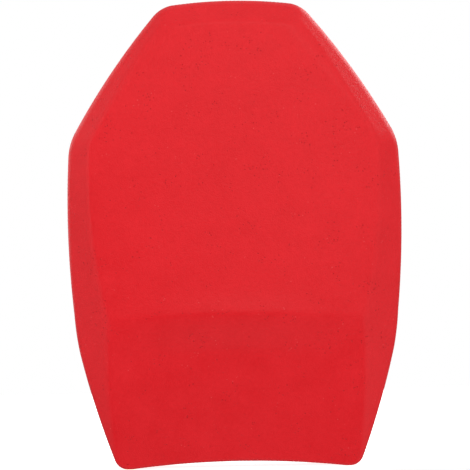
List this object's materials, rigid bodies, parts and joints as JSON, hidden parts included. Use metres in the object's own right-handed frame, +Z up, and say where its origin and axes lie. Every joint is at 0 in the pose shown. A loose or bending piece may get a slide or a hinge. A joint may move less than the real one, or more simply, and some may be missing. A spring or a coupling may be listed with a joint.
{
  "type": "kick shield",
  "caption": "Moulded foam striking pad with a bevelled red face, a leaned-back lower panel, and forearm straps, hand grips and a carry handle on its flat back.",
  "frame": {"origin": "middle of the box of the whole shield, at the height of the two corner lobes it stands on", "axes": "+Z up the shield, from the arched bottom edge to the top edge; -Y out of the striking face; +X to the right seen from the front"},
  "size_m": [0.4004, 0.178, 0.5599],
  "materials": {
    "red_skin": "satin moulded skin",
    "dense_foam": "closed-cell foam",
    "soft_foam": "open-cell foam",
    "board_plastic": "extruded sheet",
    "cover_vinyl": "grained vinyl",
    "binding_tape": "woven tape",
    "patch_vinyl": "grained vinyl",
    "webbing": "woven webbing",
    "pad_cloth": "brushed cloth",
    "hook_loop": "hook and loop",
    "steel": "nickel plated",
    "tab_rubber": "moulded rubber",
    "handle_vinyl": "grained vinyl"
  },
  "bodies": {
    "shield": {"front_skin": "red_skin", "impact_foam": "dense_foam", "core_foam": "soft_foam", "rebound_foam": "dense_foam", "support_board": "board_plastic", "back_cover": "cover_vinyl", "edge_binding": "binding_tape", "vent_eyelets": "steel", "vent_washers": "steel", "strap_rivets": "steel", "keeper_rivets": "steel", "grip_rivets": "steel", "carry_rivets": "steel", "rivet_washers": "steel", "carry_patches": "patch_vinyl", "carry_feet": "webbing", "arm_patches_left": "patch_vinyl", "arm_strap_left": "webbing", "arm_pad_left": "pad_cloth", "loop_tape_left": "hook_loop", "arm_ring_left": "steel", "ring_keeper_left": "webbing", "grip_patches_left": "patch_vinyl", "grip_feet_left": "webbing", "arm_patches_right": "patch_vinyl", "arm_strap_right": "webbing", "arm_pad_right": "pad_cloth", "loop_tape_right": "hook_loop", "arm_ring_right": "steel", "ring_keeper_right": "webbing", "grip_patches_right": "patch_vinyl", "grip_feet_right": "webbing"},
    "strap_tab_left_end": {"strap_tab_left": "webbing", "hook_tape_left": "hook_loop", "pull_tab_left": "tab_rubber"},
    "grip_left": {"grip_strap_left": "webbing", "grip_foam_left": "soft_foam", "grip_wrap_left": "handle_vinyl"},
    "strap_tab_right_end": {"strap_tab_right": "webbing", "hook_tape_right": "hook_loop", "pull_tab_right": "tab_rubber"},
    "grip_right": {"grip_strap_right": "webbing", "grip_foam_right": "soft_foam", "grip_wrap_right": "handle_vinyl"},
    "carry_handle": {"carry_strap": "webbing", "carry_foam": "soft_foam", "carry_wrap": "handle_vinyl"}
  },
  "joints": [
    {"name": "strap_peel_left", "type": "hinge", "parent": "shield", "child": "strap_tab_left_end", "pos_m": [-0.058, 0.03003, 0.22308], "axis": [-1, 0, 0], "range_deg": [0, 110]},
    {"name": "grip_flex_left", "type": "hinge", "parent": "shield", "child": "grip_left", "pos_m": [-0.148, 0.0124, 0.3], "axis": [0, 0, 1], "range_deg": [-20, 20], "stiffness_Nm_per_rad": 0.15},
    {"name": "strap_peel_right", "type": "hinge", "parent": "shield", "child": "strap_tab_right_end", "pos_m": [0.058, 0.03003, 0.22308], "axis": [-1, 0, 0], "range_deg": [0, 110]},
    {"name": "grip_flex_right", "type": "hinge", "parent": "shield", "child": "grip_right", "pos_m": [0.148, 0.0124, 0.3], "axis": [0, 0, 1], "range_deg": [-20, 20], "stiffness_Nm_per_rad": 0.15},
    {"name": "carry_flex", "type": "hinge", "parent": "shield", "child": "carry_handle", "pos_m": [0, 0.0124, 0.5], "axis": [1, 0, 0], "range_deg": [-20, 20], "stiffness_Nm_per_rad": 0.15}
  ]
}
